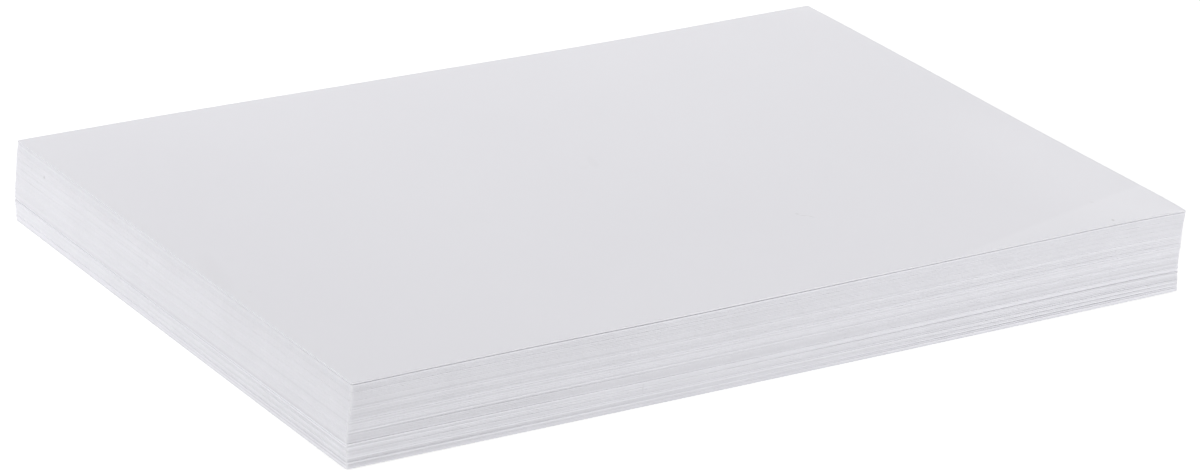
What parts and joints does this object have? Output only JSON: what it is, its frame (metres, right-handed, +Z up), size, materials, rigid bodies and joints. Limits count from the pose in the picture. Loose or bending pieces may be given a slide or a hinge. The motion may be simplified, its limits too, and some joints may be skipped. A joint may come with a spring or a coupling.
{
  "type": "pack of photo paper",
  "caption": "Unwrapped stack of blank, rectangular glossy photo paper sheets, squared up by hand, with slightly uneven edges.",
  "frame": {"origin": "centre of the underside of the bottom sheet", "axes": "+X along the sheets' long edge, +Y along their short edge, +Z up out of the top sheet"},
  "size_m": [0.1531, 0.1022, 0.0137],
  "materials": {
    "photo_paper": "resin-coated white photo paper, satin gloss faces and matt cut edges"
  },
  "bodies": {
    "root": {"sheet_01": "photo_paper", "sheet_02": "photo_paper", "sheet_03": "photo_paper", "sheet_04": "photo_paper", "sheet_05": "photo_paper", "sheet_06": "photo_paper", "sheet_07": "photo_paper", "sheet_08": "photo_paper", "sheet_09": "photo_paper", "sheet_10": "photo_paper", "sheet_11": "photo_paper", "sheet_12": "photo_paper", "sheet_13": "photo_paper", "sheet_14": "photo_paper", "sheet_15": "photo_paper", "sheet_16": "photo_paper", "sheet_17": "photo_paper", "sheet_18": "photo_paper", "sheet_19": "photo_paper", "sheet_20": "photo_paper", "sheet_21": "photo_paper", "sheet_22": "photo_paper", "sheet_23": "photo_paper", "sheet_24": "photo_paper", "sheet_25": "photo_paper", "sheet_26": "photo_paper", "sheet_27": "photo_paper", "sheet_28": "photo_paper", "sheet_29": "photo_paper", "sheet_30": "photo_paper", "sheet_31": "photo_paper", "sheet_32": "photo_paper", "sheet_33": "photo_paper", "sheet_34": "photo_paper", "sheet_35": "photo_paper", "sheet_36": "photo_paper", "sheet_37": "photo_paper", "sheet_38": "photo_paper", "sheet_39": "photo_paper", "sheet_40": "photo_paper", "sheet_41": "photo_paper", "sheet_42": "photo_paper", "sheet_43": "photo_paper", "sheet_44": "photo_paper", "sheet_45": "photo_paper", "sheet_46": "photo_paper", "sheet_47": "photo_paper", "sheet_48": "photo_paper", "sheet_49": "photo_paper", "sheet_50": "photo_paper"}
  },
  "joints": []
}
